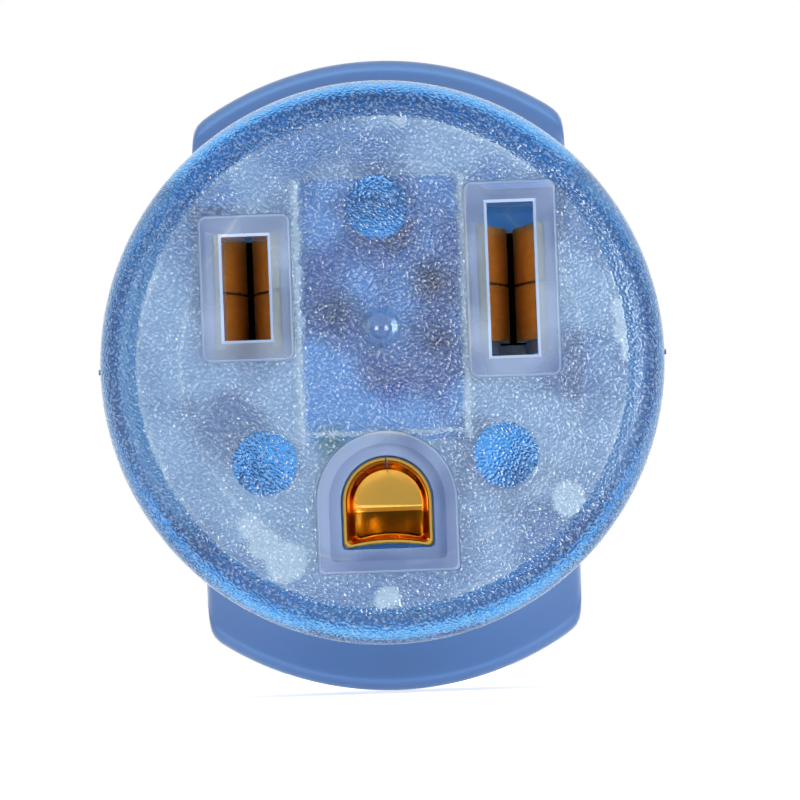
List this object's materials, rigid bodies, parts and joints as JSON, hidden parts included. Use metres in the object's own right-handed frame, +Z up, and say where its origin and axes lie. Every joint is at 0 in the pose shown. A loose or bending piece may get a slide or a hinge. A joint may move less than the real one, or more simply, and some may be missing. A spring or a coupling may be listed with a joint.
{
  "type": "moulded cord receptacle",
  "caption": "Receptacle end of a heavy adapter cord: round clear blue head with blade slots and an earth socket, flared grip wings and a neck for the cord.",
  "frame": {"origin": "middle of the mating face", "axes": "+Y from the face back along the axis to the cord, +Z up with the earth socket at -Z, +X to the right as seen from in front of the face"},
  "size_m": [0.0542, 0.0711, 0.0632],
  "materials": {
    "clear_blue_plastic": "translucent soft plastic, fine grain on the face, smooth on the grip",
    "clear_plastic": "clear, polished",
    "brass": "rolled strip, bright cut edges",
    "spring_steel": "plain rolled strip",
    "copper": "bare strands",
    "white_insulation": "extruded, matt",
    "black_insulation": "extruded, matt",
    "green_insulation": "extruded, matt"
  },
  "bodies": {
    "root": {"body_moulding": "clear_blue_plastic", "contact_carrier": "clear_plastic", "carrier_cover": "clear_plastic", "left_line_contact": "brass", "right_line_contact": "brass", "earth_contact": "brass", "left_backing_clip": "spring_steel", "right_backing_clip": "spring_steel", "left_conductor": "copper", "right_conductor": "copper", "earth_conductor": "copper", "left_wire_insulation": "white_insulation", "right_wire_insulation": "black_insulation", "earth_wire_insulation": "green_insulation"}
  },
  "joints": []
}
